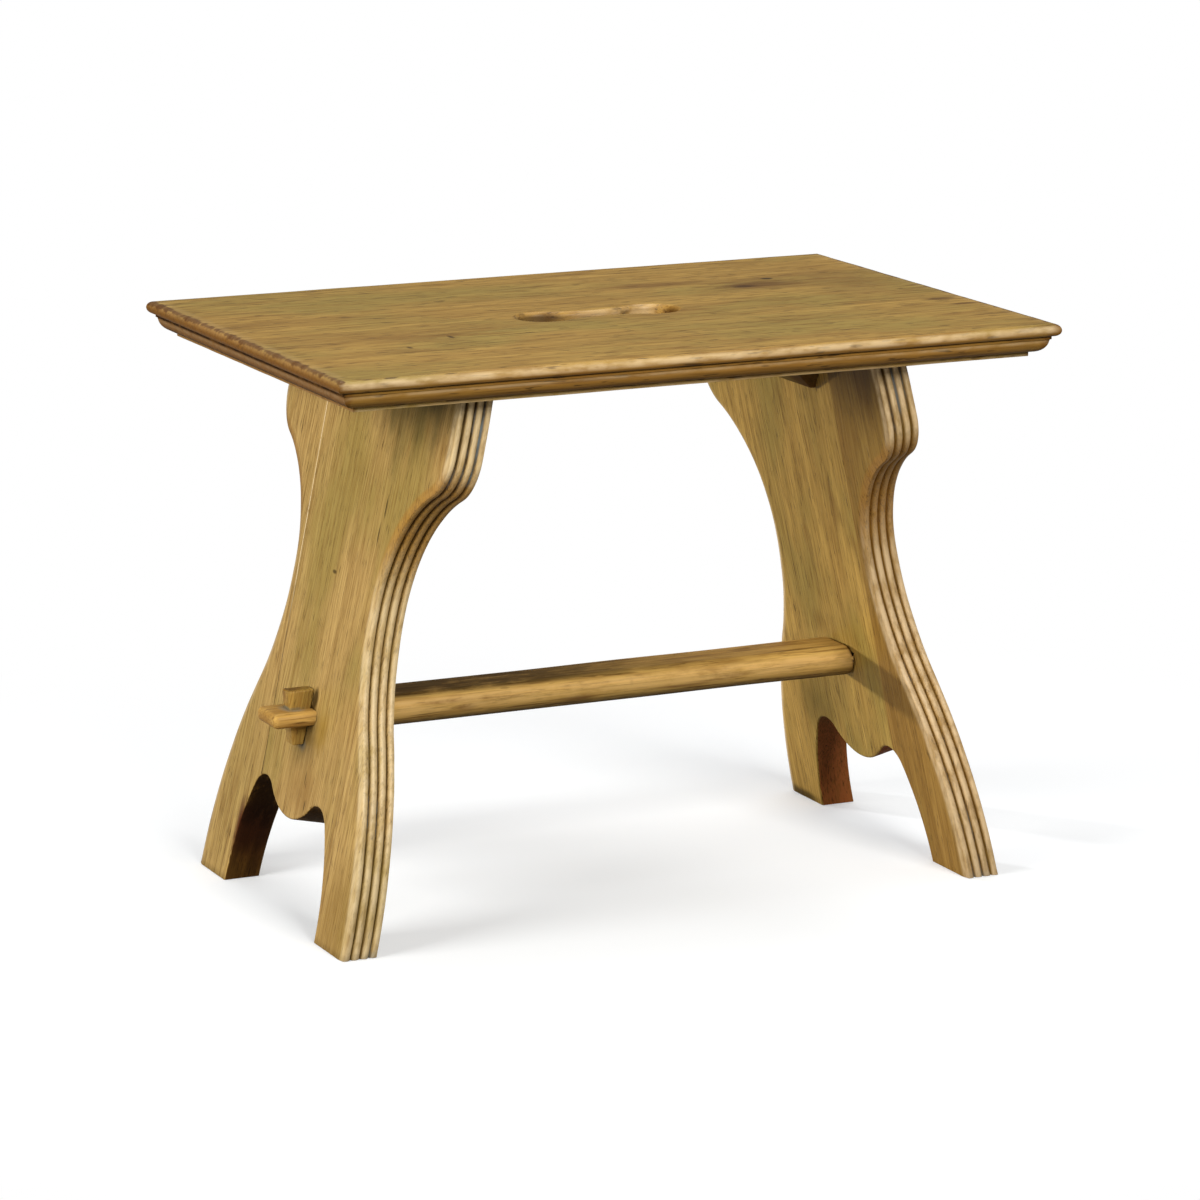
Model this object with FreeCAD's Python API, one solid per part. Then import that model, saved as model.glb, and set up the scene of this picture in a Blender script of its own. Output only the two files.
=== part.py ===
import FreeCAD, Part
import math
import os

# Oak tavern stool: a moulded seat board with a hand slot, two raked trestle ends
# with reeded edges, and a stretcher that two tapered keys draw up tight.
# Millimetres. X runs along the seat, -Y is the front, Z is up.
# The origin is on the floor under the middle of the seat.

# Seat board and the moulding worked round its edge
seat_length = 560.0
seat_width = 377.0
seat_top_height = 420.0
seat_thickness = 25.0
nosing_depth = 9.4
quirk_inset = 5.4
quirk_depth = 2.4
ovolo_inset = 6.6
ovolo_radius = 9.9
bottom_fillet_step = 1.0

# Hand slot through the middle of the seat
slot_lobe_radius = 20.0
slot_lobe_spacing = 86.0
slot_waist_width = 20.0
slot_round = 4.0
slot_round_flats = 3

# Trestle ends, each two edge-glued boards leaning in towards the seat
# The width shares are of the shoulder, the height share is of the seat's underside.
end_rake = 12.7
end_thickness = 27.3
foot_setback = 16.2
seat_overhang = 36.0
ear_height = 40.5
ear_radius = 340.0
nose_radius = 36.0
waist_height_share = 0.595
waist_width_share = 0.505
foot_width_share = 0.931
foot_flare_share = 0.626

# Shaped gap between the two feet of an end
foot_gap_width_share = 0.58
foot_inner_radius = 162.0
arch_radius = 20.0
arch_top_height = 87.3
pendant_height = 68.0

# Reeds worked along the front and back edges of an end
reed_count = 4
reed_depth = 2.6
reed_flats = 4
sawn_allowance = 2.0

# Glue joint between the wide board and the narrow strip of an end, in shares of the shoulder
glue_joint_foot_share = 0.354
glue_joint_head_share = 0.492

# Stub tenons that hold an end in the underside of the seat
stub_width = 42.0
stub_thickness = 11.0
stub_length = 13.0
stub_spacing_share = 0.682
stub_fit = 0.15

# Stretcher and its through tenons
stretcher_width = 46.4
stretcher_top_height = 155.0
stretcher_thickness = 25.0
stretcher_top_round = 5.0
stretcher_bottom_round = 16.5
tenon_width = 36.0
tenon_thickness = 10.6
tenon_drop = 11.6
tenon_show = 32.1
tenon_round = 4.2
tenon_fit = 0.15

# Tapered keys
key_thickness = 12.0
key_head_width = 20.6
key_foot_width = 8.4
key_head_rise = 14.3
key_foot_drop = 15.6
key_head_bevel = 2.4
key_arris = 0.8
key_clearance = 0.3
key_mortise_setback = 4.0

# Corner blocks glued under the seat against the inner face of each end
block_height = 35.0
block_depth = 34.0
block_lip = 4.0
block_foot_length = 94.0
block_head_length = 158.0

# How far every cutting tool runs past what it cuts, and how near an edge lies to be picked
overrun = 6.0
pick_near = 0.05

seat_underside = seat_top_height - seat_thickness
rake = math.radians(end_rake)
rake_slope = math.tan(rake)
rake_cos = math.cos(rake)
end_run = end_thickness / rake_cos
end_length = (seat_underside + end_thickness * math.sin(rake)) / rake_cos
end_foot_reach = seat_length / 2 - foot_setback
shoulder_half_width = seat_width / 2 - seat_overhang
shoulder_height = seat_underside - ear_height
waist_height = seat_underside * waist_height_share
waist_half_width = shoulder_half_width * waist_width_share
foot_half_width = shoulder_half_width * foot_width_share
foot_inner_half_width = shoulder_half_width * foot_gap_width_share
stub_spacing = shoulder_half_width * stub_spacing_share
tenon_height = stretcher_top_height - tenon_drop
tenon_reach = end_foot_reach - rake_slope * tenon_height + tenon_show
key_top_height = tenon_height + tenon_thickness / 2 + key_head_rise
key_bottom_height = tenon_height - tenon_thickness / 2 - key_foot_drop
x_axis = FreeCAD.Vector(1, 0, 0)
y_axis = FreeCAD.Vector(0, 1, 0)
z_axis = FreeCAD.Vector(0, 0, 1)
origin = FreeCAD.Vector(0, 0, 0)
end_plane = (y_axis, z_axis)
seat_plane = (x_axis, y_axis)


def arc_edge(start, middle, end):
    return Part.Arc(start, middle, end).toShape()


def line_edge(start, end):
    return Part.LineSegment(start, end).toShape()


def face_of(edges):
    return Part.Face(Part.Wire(edges))


def arc_spot(plane, centre, radius, angle):
    return centre + plane[0] * (radius * math.cos(angle)) + plane[1] * (radius * math.sin(angle))


def arc_about(plane, centre, radius, start, end):
    middle = (start + end) / 2
    return arc_edge(arc_spot(plane, centre, radius, start),
                    arc_spot(plane, centre, radius, middle),
                    arc_spot(plane, centre, radius, end))


def bulge(start, end):
    # An arc that turns to the left on its way swells outwards, and one that turns right is hollow.
    return 1 if end > start else -1


def carried_round(arcs, plane, make_profile):
    # A section carried round each arc of an outline in turn, as one cutter for each arc.
    axis = plane[0].cross(plane[1])
    cutters = []
    for centre, radius, start, end in arcs:
        foot = arc_spot(plane, centre, radius, min(start, end))
        outward = (foot - centre).normalize() * bulge(start, end)
        turn = math.degrees(abs(end - start))
        cutters.append(make_profile(foot, outward).revolve(centre, axis, turn))
    return cutters


def box_between(low, high):
    size = high - low
    return Part.makeBox(size.x, size.y, size.z, low)


def outer_face_x(height):
    return end_foot_reach - rake_slope * height


def inner_face_x(height):
    return outer_face_x(height) - end_run


def turned(shape):
    copy = shape.copy()
    copy.rotate(origin, z_axis, 180)
    return copy


# Moulded seat

def moulding_half(half_size, across):
    # Points run down one side of the board: nosing, quirk, ovolo and bottom fillet.
    radius = nosing_depth / 2
    fillet_depth = nosing_depth + quirk_depth
    diagonal_share = math.sqrt(0.5)

    def place(inset, depth):
        return across * (half_size - inset) + z_axis * (seat_top_height - depth)

    ovolo_end = ovolo_inset + ovolo_radius
    ovolo_depth = fillet_depth + ovolo_radius
    bottom_inset = ovolo_end + bottom_fillet_step
    ovolo_middle_inset = ovolo_end - ovolo_radius * diagonal_share
    ovolo_middle_depth = fillet_depth + ovolo_radius * diagonal_share
    return [
        arc_edge(place(radius, 0), place(0, radius), place(radius, nosing_depth)),
        line_edge(place(radius, nosing_depth), place(quirk_inset, nosing_depth)),
        line_edge(place(quirk_inset, nosing_depth), place(quirk_inset, fillet_depth)),
        line_edge(place(quirk_inset, fillet_depth), place(ovolo_inset, fillet_depth)),
        arc_edge(place(ovolo_inset, fillet_depth),
                 place(ovolo_middle_inset, ovolo_middle_depth),
                 place(ovolo_end, ovolo_depth)),
        line_edge(place(ovolo_end, ovolo_depth), place(bottom_inset, ovolo_depth)),
        line_edge(place(bottom_inset, ovolo_depth), place(bottom_inset, seat_thickness)),
    ]


def moulded_prism(half_size, across, along, length):
    right = moulding_half(half_size, across)
    left = moulding_half(half_size, across * -1)
    top = line_edge(left[0].firstVertex().Point, right[0].firstVertex().Point)
    bottom = line_edge(left[-1].lastVertex().Point, right[-1].lastVertex().Point)
    section = face_of(Part.__sortEdges__(right + left + [top, bottom]))
    section.translate(along * (-length / 2))
    return section.extrude(along * length)


def slot_arcs():
    # Two round lobes joined by a hollow waist, all tangent to each other.
    lobe_x = slot_lobe_spacing / 2
    waist = slot_waist_width / 2
    waist_radius = (lobe_x ** 2 + waist ** 2 - slot_lobe_radius ** 2) / (2 * (slot_lobe_radius - waist))
    waist_y = waist + waist_radius
    lobe_turn = math.atan2(waist_y, -lobe_x)
    return [
        (x_axis * lobe_x, slot_lobe_radius, -lobe_turn, lobe_turn),
        (y_axis * waist_y, waist_radius, lobe_turn - math.pi, -lobe_turn),
        (x_axis * -lobe_x, slot_lobe_radius, math.pi - lobe_turn, math.pi + lobe_turn),
        (y_axis * -waist_y, waist_radius, lobe_turn, math.pi - lobe_turn),
    ]


def slot_rim(level, up):
    # Makes the section of the space over a rounded rim: the round is taken in a few flats.
    def profile(foot, into_board):
        def spot(inset, rise):
            return foot + into_board * inset + z_axis * (level + up * rise)

        corners = [spot(slot_round, overrun)]
        for flat in range(slot_round_flats + 1):
            turn = math.pi / 2 * (1 + flat / slot_round_flats)
            corners.append(spot(slot_round * (1 + math.cos(turn)), slot_round * (math.sin(turn) - 1)))
        corners += [spot(-overrun, -slot_round), spot(-overrun, overrun), corners[0]]
        return Part.Face(Part.makePolygon(corners))

    return profile


def hand_slot():
    arcs = slot_arcs()
    outline = face_of([arc_about(seat_plane, *arc) for arc in arcs])
    outline.translate(z_axis * (seat_underside - overrun))
    hole = outline.extrude(z_axis * (seat_thickness + 2 * overrun))
    top_rim = carried_round(arcs, seat_plane, slot_rim(seat_top_height, 1))
    under_rim = carried_round(arcs, seat_plane, slot_rim(seat_underside, -1))
    return [hole] + top_rim + under_rim


def make_seat(stub_sockets):
    long_moulding = moulded_prism(seat_width / 2, y_axis, x_axis, seat_length)
    short_moulding = moulded_prism(seat_length / 2, x_axis, y_axis, seat_width)
    board = long_moulding.common(short_moulding)
    return board.cut(hand_slot() + stub_sockets)


# Outlines of a trestle end, in its own plane: across the board and up the board

def end_point(across, up):
    return FreeCAD.Vector(0, across, up)


def edge_arcs():
    # One side of an end, from below the floor to above the seat's underside, as five tangent arcs:
    # foot flare, lower and upper hollow of the waist, nose under the shoulder, and ear.
    waist_up = waist_height / rake_cos
    shoulder_up = shoulder_height / rake_cos
    flare_in = foot_half_width - waist_half_width
    lower_span = (waist_up ** 2 + flare_in ** 2) / (2 * flare_in)
    flare_radius = lower_span * foot_flare_share
    lower_radius = lower_span - flare_radius
    lower_turn = math.atan2(waist_up, lower_span - flare_in)
    rise = shoulder_up - waist_up
    shoulder_out = shoulder_half_width - waist_half_width
    upper_span = (rise ** 2 + shoulder_out ** 2) / (2 * shoulder_out)
    upper_radius = upper_span - nose_radius
    upper_turn = math.atan2(rise, upper_span - shoulder_out)
    ear_turn = math.asin((end_length - shoulder_up + overrun) / ear_radius)
    flare_start = -math.asin(overrun / flare_radius)
    flare_centre = end_point(foot_half_width - flare_radius, 0)
    lower_centre = end_point(waist_half_width + lower_radius, waist_up)
    upper_centre = end_point(waist_half_width + upper_radius, waist_up)
    nose_centre = end_point(shoulder_half_width - nose_radius, shoulder_up)
    ear_centre = end_point(shoulder_half_width - ear_radius, shoulder_up)
    return [
        (flare_centre, flare_radius, flare_start, lower_turn),
        (lower_centre, lower_radius, math.pi + lower_turn, math.pi),
        (upper_centre, upper_radius, math.pi, math.pi - upper_turn),
        (nose_centre, nose_radius, -upper_turn, 0),
        (ear_centre, ear_radius, 0, ear_turn),
    ]


def mirrored(shapes):
    return [shape.mirror(origin, y_axis) for shape in shapes]


def foot_gap():
    # The gap between the feet: hollowed legs, two small arches and a round pendant between them.
    arch_up = arch_top_height / rake_cos - arch_radius
    pendant_up = pendant_height / rake_cos
    leg_centre = end_point(foot_inner_half_width - foot_inner_radius, 0)
    arch_reach = foot_inner_radius - arch_radius
    arch_across = leg_centre.y + math.sqrt(arch_reach ** 2 - arch_up ** 2)
    leg_turn = math.asin(arch_up / arch_reach)
    drop = arch_up - pendant_up
    pendant_radius = (arch_across ** 2 + drop ** 2 - arch_radius ** 2) / (2 * (arch_radius + drop))
    arch_turn = math.pi - math.atan2(pendant_radius - drop, arch_across)
    arch_centre = end_point(arch_across, arch_up)
    below = end_point(foot_inner_half_width, -overrun)
    side = [
        line_edge(below, end_point(foot_inner_half_width, 0)),
        arc_about(end_plane, leg_centre, foot_inner_radius, 0, leg_turn),
        arc_about(end_plane, arch_centre, arch_radius, leg_turn, arch_turn),
    ]
    touch = side[-1].lastVertex().Point
    pendant = arc_edge(touch, end_point(0, pendant_up), end_point(-touch.y, touch.z))
    floor_line = line_edge(end_point(-below.y, below.z), below)
    outline = side + [pendant] + mirrored(side) + [floor_line]
    face = face_of(Part.__sortEdges__(outline))
    face.translate(x_axis * -overrun)
    return face.extrude(x_axis * (end_thickness + 2 * overrun))


def reed_profile(foot, outward):
    # The space outside a row of reeds, as a face across the edge of the board.
    # The round of each reed is taken in a few flats, with their corners on its arc.
    pitch = end_thickness / reed_count
    radius = ((pitch / 2) ** 2 + reed_depth ** 2) / (2 * reed_depth)
    half_turn = math.asin(pitch / 2 / radius)

    def spot(across, rise):
        return foot + x_axis * across + outward * rise

    corners = [spot(0, -reed_depth)]
    for reed in range(reed_count):
        crown = pitch * (reed + 0.5)
        for flat in range(1, reed_flats + 1):
            turn = half_turn * (2 * flat / reed_flats - 1)
            corners.append(spot(crown + radius * math.sin(turn), radius * (math.cos(turn) - 1)))
    corners += [
        spot(end_thickness + overrun, -reed_depth),
        spot(end_thickness + overrun, overrun),
        spot(-overrun, overrun),
        spot(-overrun, -reed_depth),
        corners[0],
    ]
    return Part.Face(Part.makePolygon(corners))


def raked(shape):
    # From the plane of the board to its place under the left of the seat.
    shape.rotate(origin, y_axis, end_rake)
    shape.translate(x_axis * -end_foot_reach)
    return shape


def end_blank():
    # Sawn a little wide of the outline, and brought to it by the reeds.
    edge = []
    for centre, radius, start, end in edge_arcs():
        sawn_radius = radius + bulge(start, end) * sawn_allowance
        edge.append(arc_about(end_plane, centre, sawn_radius, start, end))
    head = edge[-1].lastVertex().Point
    foot = edge[0].firstVertex().Point
    closing = [
        line_edge(head, end_point(-head.y, head.z)),
        line_edge(foot, end_point(-foot.y, foot.z)),
    ]
    outline = face_of(Part.__sortEdges__(edge + mirrored(edge) + closing))
    blank = outline.extrude(x_axis * end_thickness)
    cutters = carried_round(edge_arcs(), end_plane, reed_profile)
    return blank.cut([foot_gap()] + cutters + mirrored(cutters))


def stub_row(fit):
    # The pair of raked stub tenons, or with a fit their sockets.
    middle = end_thickness / 2
    half = stub_thickness / 2 + fit
    low = seat_underside / rake_cos - overrun
    high = end_length + stub_length + overrun
    stubs = []
    for side in (1, -1):
        centre = side * stub_spacing / 2
        reach = stub_width / 2 + fit
        stub = box_between(FreeCAD.Vector(middle - half, centre - reach, low),
                           FreeCAD.Vector(middle + half, centre + reach, high))
        stubs.append(raked(stub))
    room = box_between(FreeCAD.Vector(-seat_length, -seat_width, seat_underside),
                       FreeCAD.Vector(0, seat_width, seat_underside + stub_length + fit))
    return [stub.common(room) for stub in stubs]


def tenon_bar(fit, reach):
    # A bar of the through tenon's section, right through both ends of the stool.
    half_width = tenon_width / 2 + fit
    half_height = tenon_thickness / 2 + fit
    return box_between(FreeCAD.Vector(-reach, -half_width, tenon_height - half_height),
                       FreeCAD.Vector(reach, half_width, tenon_height + half_height))


def tenon_mortise():
    bar = tenon_bar(tenon_fit, tenon_reach + overrun)
    arrises = [edge for edge in bar.Edges if edge.BoundBox.XLength > tenon_reach]
    return bar.makeFillet(tenon_round + tenon_fit, arrises)


def make_left_end():
    end = raked(end_blank())
    standing = box_between(FreeCAD.Vector(-seat_length, -seat_width, 0),
                           FreeCAD.Vector(0, seat_width, seat_underside))
    end = end.common(standing).cut(tenon_mortise())
    end = end.fuse(stub_row(0)).removeSplitter()
    foot = end_point(shoulder_half_width * glue_joint_foot_share, -overrun)
    head = end_point(shoulder_half_width * glue_joint_head_share, end_length + stub_length + overrun)
    far_head = end_point(seat_width, head.z)
    far_foot = end_point(seat_width, foot.z)
    beyond = Part.Face(Part.makePolygon([foot, head, far_head, far_foot, foot]))
    beyond.translate(x_axis * -overrun)
    beyond = raked(beyond.extrude(x_axis * (end_thickness + 2 * overrun)))
    return end.cut(beyond), end.common(beyond)


# Stretcher, keys and corner blocks

def stretcher_section():
    # Flat on top with eased corners, and well rounded below.
    half = stretcher_width / 2
    top = stretcher_top_height
    bottom = top - stretcher_thickness
    upper = stretcher_top_round
    lower = stretcher_bottom_round
    eased_share = 1 - math.sqrt(0.5)

    def spot(across, height):
        return FreeCAD.Vector(-tenon_reach, across, height)

    def side(sign):
        return [
            line_edge(spot(0, top), spot(sign * (half - upper), top)),
            arc_edge(spot(sign * (half - upper), top),
                     spot(sign * (half - upper * eased_share), top - upper * eased_share),
                     spot(sign * half, top - upper)),
            line_edge(spot(sign * half, top - upper), spot(sign * half, bottom + lower)),
            arc_edge(spot(sign * half, bottom + lower),
                     spot(sign * (half - lower * eased_share), bottom + lower * eased_share),
                     spot(sign * (half - lower), bottom)),
            line_edge(spot(sign * (half - lower), bottom), spot(0, bottom)),
        ]

    return face_of(Part.__sortEdges__(side(1) + side(-1)))


def between_ends():
    # The room between the raked inner faces of the two ends.
    low = inner_face_x(0)
    high = inner_face_x(seat_underside)
    corners = [(-low, 0), (low, 0), (high, seat_underside), (-high, seat_underside), (-low, 0)]
    outline = Part.makePolygon([FreeCAD.Vector(x, -seat_width, z) for x, z in corners])
    return Part.Face(outline).extrude(y_axis * (2 * seat_width))


def key_inner_x(height):
    return outer_face_x(height) + key_clearance / rake_cos


def key_outer_x(height):
    # The outer side runs straight from the wide head of a key to its narrow foot.
    head = key_inner_x(key_top_height) + key_head_width
    foot = key_inner_x(key_bottom_height) + key_foot_width
    up_share = (height - key_bottom_height) / (key_top_height - key_bottom_height)
    return foot + (head - foot) * up_share


def key_prism(inner_x, slack, half_thickness):
    # A left key, or with some slack its mortise, between its inner and its outer side.
    low = key_bottom_height
    high = key_top_height
    corners = [
        (-key_outer_x(low) - slack, low),
        (-key_outer_x(high) - slack, high),
        (-inner_x(high), high),
        (-inner_x(low), low),
        (-key_outer_x(low) - slack, low),
    ]
    outline = Part.makePolygon([FreeCAD.Vector(x, -half_thickness, z) for x, z in corners])
    return Part.Face(outline).extrude(y_axis * (2 * half_thickness))


def mortise_inner_x(height):
    # The mortise reaches in past the face of the end, so that the key draws the joint tight.
    return outer_face_x(height) - key_mortise_setback


def make_stretcher():
    rail = stretcher_section().extrude(x_axis * (2 * tenon_reach)).common(between_ends())
    tongue = tenon_bar(0, tenon_reach)
    rail = rail.fuse(tongue.makeFillet(tenon_round, tongue.Edges))
    mortise = key_prism(mortise_inner_x, key_clearance, key_thickness / 2 + key_clearance)
    return rail.cut([mortise, turned(mortise)]).removeSplitter()


def make_left_key():
    key = key_prism(key_inner_x, 0, key_thickness / 2)
    head = [edge for edge in key.Edges if edge.BoundBox.ZMin > key_top_height - pick_near]
    key = key.makeChamfer(key_head_bevel, head)
    arrises = []
    for edge in key.Edges:
        tall = edge.BoundBox.ZLength > (key_top_height - key_bottom_height) / 2
        at_foot = edge.BoundBox.ZMax < key_bottom_height + pick_near
        if tall or at_foot:
            arrises.append(edge)
    return key.makeChamfer(key_arris, arrises)


def make_left_block():
    # Corner block: its long face slopes from the seat down to a narrow lip on the end.
    corner = -inner_face_x(seat_underside)
    foot = -inner_face_x(seat_underside - block_height)
    lowest = seat_underside - block_height
    corners = [
        (corner, seat_underside),
        (corner + block_depth, seat_underside),
        (corner + block_depth, seat_underside - block_lip),
        (foot + block_lip, lowest),
        (foot, lowest),
        (corner, seat_underside),
    ]
    outline = Part.makePolygon([FreeCAD.Vector(x, -block_head_length / 2, z) for x, z in corners])
    block = Part.Face(outline).extrude(y_axis * block_head_length)
    head = block_head_length / 2
    heel = block_foot_length / 2
    end_corners = [
        (-heel, lowest),
        (heel, lowest),
        (head, seat_underside),
        (-head, seat_underside),
        (-heel, lowest),
    ]
    trimmed = Part.makePolygon([FreeCAD.Vector(-end_foot_reach, y, z) for y, z in end_corners])
    return block.common(Part.Face(trimmed).extrude(x_axis * end_foot_reach))


left_board, left_strip = make_left_end()
sockets = stub_row(stub_fit)
sockets = sockets + [turned(socket) for socket in sockets]
left_key = make_left_key()
left_block = make_left_block()

pieces = {
    "seat_board": make_seat(sockets),
    "left_end_board": left_board,
    "left_end_strip": left_strip,
    "right_end_board": turned(left_board),
    "right_end_strip": turned(left_strip),
    "stretcher": make_stretcher(),
    "left_key": left_key,
    "right_key": turned(left_key),
    "left_corner_block": left_block,
    "right_corner_block": turned(left_block),
}

os.makedirs("parts", exist_ok=True)
for name, shape in pieces.items():
    solid = shape.Solids[0]
    solid.exportStep("parts/" + name + ".step")
    print(name, len(shape.Solids), shape.isValid(), round(shape.Volume))
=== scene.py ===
import math

import bmesh
import bpy
from mathutils import Euler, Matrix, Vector, noise


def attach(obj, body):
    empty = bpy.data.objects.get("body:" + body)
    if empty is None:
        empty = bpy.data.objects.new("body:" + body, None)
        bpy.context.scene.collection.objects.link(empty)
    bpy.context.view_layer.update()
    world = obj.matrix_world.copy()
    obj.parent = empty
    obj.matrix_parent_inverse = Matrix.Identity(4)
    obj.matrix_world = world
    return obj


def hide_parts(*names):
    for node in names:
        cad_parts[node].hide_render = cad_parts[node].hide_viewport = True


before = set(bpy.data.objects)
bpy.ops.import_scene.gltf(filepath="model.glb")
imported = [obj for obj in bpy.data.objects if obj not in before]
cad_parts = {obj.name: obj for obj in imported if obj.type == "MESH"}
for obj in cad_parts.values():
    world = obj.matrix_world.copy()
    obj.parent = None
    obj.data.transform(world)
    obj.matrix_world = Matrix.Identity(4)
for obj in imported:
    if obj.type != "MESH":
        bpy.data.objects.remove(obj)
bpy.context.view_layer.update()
print("frame loaded:", len(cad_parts), "nodes")

mm = 0.001
weld = 0.01 * mm  # points nearer than this become one
touch = 0.02 * mm  # points nearer than this to a plane lie on it
cutterPast = 3  # millimetres by which a cutter runs past the faces it cuts
creaseAngle = 32  # degrees, sharper edges stay crisp


def hexColour(text):
    # sRGB hex to linear
    channels = [int(text[i:i + 2], 16) / 255 for i in (1, 3, 5)]
    linear = [c / 12.92 if c <= 0.04045 else ((c + 0.055) / 1.055) ** 2.4 for c in channels]
    return (*linear, 1.0)


def editMode():
    bpy.ops.object.mode_set(mode="EDIT")
    bpy.ops.mesh.select_mode(type="VERT")


def objectMode():
    bpy.ops.object.mode_set(mode="OBJECT")


def onlySelect(piece):
    bpy.ops.object.select_all(action="DESELECT")
    piece.select_set(True)
    bpy.context.view_layer.objects.active = piece


def selectMesh():
    bpy.ops.mesh.select_all(action="SELECT")


def named(name):
    piece = bpy.context.active_object
    piece.name = piece.data.name = name
    return piece


def block(name, middle, sizes):
    bpy.ops.mesh.primitive_cube_add(size=1, location=middle * mm, scale=sizes * mm)
    bpy.ops.object.transform_apply()
    return named(name)


def pickPairs(test):
    # selects the edges of the piece in edit mode whose two ends together pass the test
    bpy.ops.mesh.select_mode(type="EDGE")
    bpy.ops.mesh.select_all(action="DESELECT")
    mesh = bmesh.from_edit_mesh(bpy.context.edit_object.data)
    for edge in mesh.edges:
        edge.select_set(test(edge.verts[0].co, edge.verts[1].co))
    bmesh.update_edit_mesh(bpy.context.edit_object.data)


def pickEdges(test):
    pickPairs(lambda a, b: test(a) and test(b))


def startPoint(place):
    # one loose point in edit mode, to draw an outline from
    bpy.ops.mesh.primitive_plane_add(size=mm)
    bpy.ops.mesh.merge(type="CENTER")
    mesh = bmesh.from_edit_mesh(bpy.context.edit_object.data)
    point = [v for v in mesh.verts if v.select][0]
    bpy.ops.transform.translate(value=Vector(place) - point.co)


def newPiece(name):
    bpy.ops.mesh.primitive_plane_add(size=mm)
    piece = named(name)
    editMode()
    selectMesh()
    bpy.ops.mesh.delete(type="VERT")
    return piece


def drawTo(step):
    bpy.ops.mesh.extrude_vertices_move(TRANSFORM_OT_translate={"value": step})


def sweep(centre, axis, turn, steps):
    # with no window a positive spin goes clockwise
    bpy.ops.mesh.spin(steps=steps, angle=-turn, center=centre, axis=axis)


def tidyMesh():
    selectMesh()
    bpy.ops.mesh.remove_doubles(threshold=weld)
    bpy.ops.mesh.normals_make_consistent(inside=False)


def closeMesh():
    tidyMesh()
    objectMode()


def cutAway(piece, cutter):
    onlySelect(piece)
    tool = piece.modifiers.new("cut", "BOOLEAN")
    tool.operation = "DIFFERENCE"
    tool.solver = "EXACT"
    tool.object = cutter
    bpy.ops.object.modifier_apply(modifier=tool.name)
    bpy.data.objects.remove(cutter, do_unlink=True)
    editMode()
    closeMesh()


def ringCutter(name, outline, layers, place):
    # closed rings of one outline, each with its own level and growth, bridged into a cutter
    cutter = newPiece(name)
    for level, grow in layers:
        start, runs = outline(grow)
        startPoint(place(start, level))
        for run in runs:
            if len(run) == 2:
                drawTo(place(run, 0) - place((0, 0), 0))
            else:
                centre, axis, turn, steps = run
                sweep(place(centre, level), axis, turn, steps)
    tidyMesh()
    across = (place((0, 0), 1) - place((0, 0), 0)).normalized()
    for (low, _), (high, _) in zip(layers, layers[1:]):
        pickEdges(lambda co: min(abs(co.dot(across) - low * mm), abs(co.dot(across) - high * mm)) < touch)
        bpy.ops.mesh.bridge_edge_loops()
    for level in (layers[0][0], layers[-1][0]):
        pickEdges(lambda co: abs(co.dot(across) - level * mm) < touch)
        bpy.ops.mesh.edge_face_add()
    closeMesh()
    return cutter


def roundedLayers(low, high, rim, steps=6, flare=0.2):
    # levels and growths of a cutter that rounds both rims of the hole it cuts
    start = [(low - cutterPast, rim + cutterPast * flare)]
    for i in range(steps + 1):
        turn = math.pi / 2 * i / steps
        start.append((low + rim - rim * math.cos(turn), rim - rim * math.sin(turn)))
    end = [(low + high - level, grow) for level, grow in reversed(start)]
    return start + end


def setMarks(piece, marks):
    # writes how worn, how grimy and how raw the wood is at each point, for the material to read; the wear also
    # carries painted highlights, the grime and the raw brown also carry painted shade
    found = [marks(v.co) for v in piece.data.vertices]
    for i, name in enumerate(("worn", "grime", "raw")):
        layer = piece.data.attributes.new(name=name, type="FLOAT", domain="POINT")
        layer.data.foreach_set("value", [f[i] for f in found])


def ripple(piece, amount, size, seed, where=lambda co: 1):
    # hand-planed waviness and small dents, always inward, with waves of the given lengths
    normals = [v.normal.copy() for v in piece.data.vertices]
    for v, normal in zip(piece.data.vertices, normals):
        spot = Vector((v.co.x / size[0], v.co.y / size[1], v.co.z / size[2])) / mm + Vector((seed, 0, 0))
        v.co -= normal * amount * mm * (0.5 + 0.5 * noise.noise(spot)) * where(v.co)


def ramp(value, low, high):
    share = min(max((value - low) / (high - low), 0), 1)
    return share * share * (3 - 2 * share)


def band(value, start, full, fade, end):
    # rises from start to full and falls again from fade to end
    return ramp(value, start, full) * ramp(value, end, fade)


def addNode(tree, made, name, kind, settings, links, out=0):
    # settings hold the node's own choices and socket values, links name earlier nodes
    node = tree.nodes.new("ShaderNode" + kind)
    for key, value in settings.items():
        if isinstance(key, int) or key in node.inputs:
            node.inputs[key].default_value = value
        else:
            setattr(node, key, value)
    for key, source in links.items():
        tree.links.new(made[source], node.inputs[key])
    if len(node.outputs):
        made[name] = node.outputs[out]


def fillTree(owner, recipe):
    owner.use_nodes = True
    owner.node_tree.nodes.clear()
    made = {}
    for row in recipe:
        addNode(owner.node_tree, made, *row)


def perMm(along, across, through):
    return (1 / along, 1 / across, 1 / through)


softStep = {"interpolation_type": "SMOOTHSTEP"}
multiplyAdd = {"operation": "MULTIPLY_ADD"}
colourMix = {"data_type": "RGBA"}  # its factor is input 0, its colours are inputs 6 and 7
waveScale = 0.314  # at this scale a wave texture repeats once a unit
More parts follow.
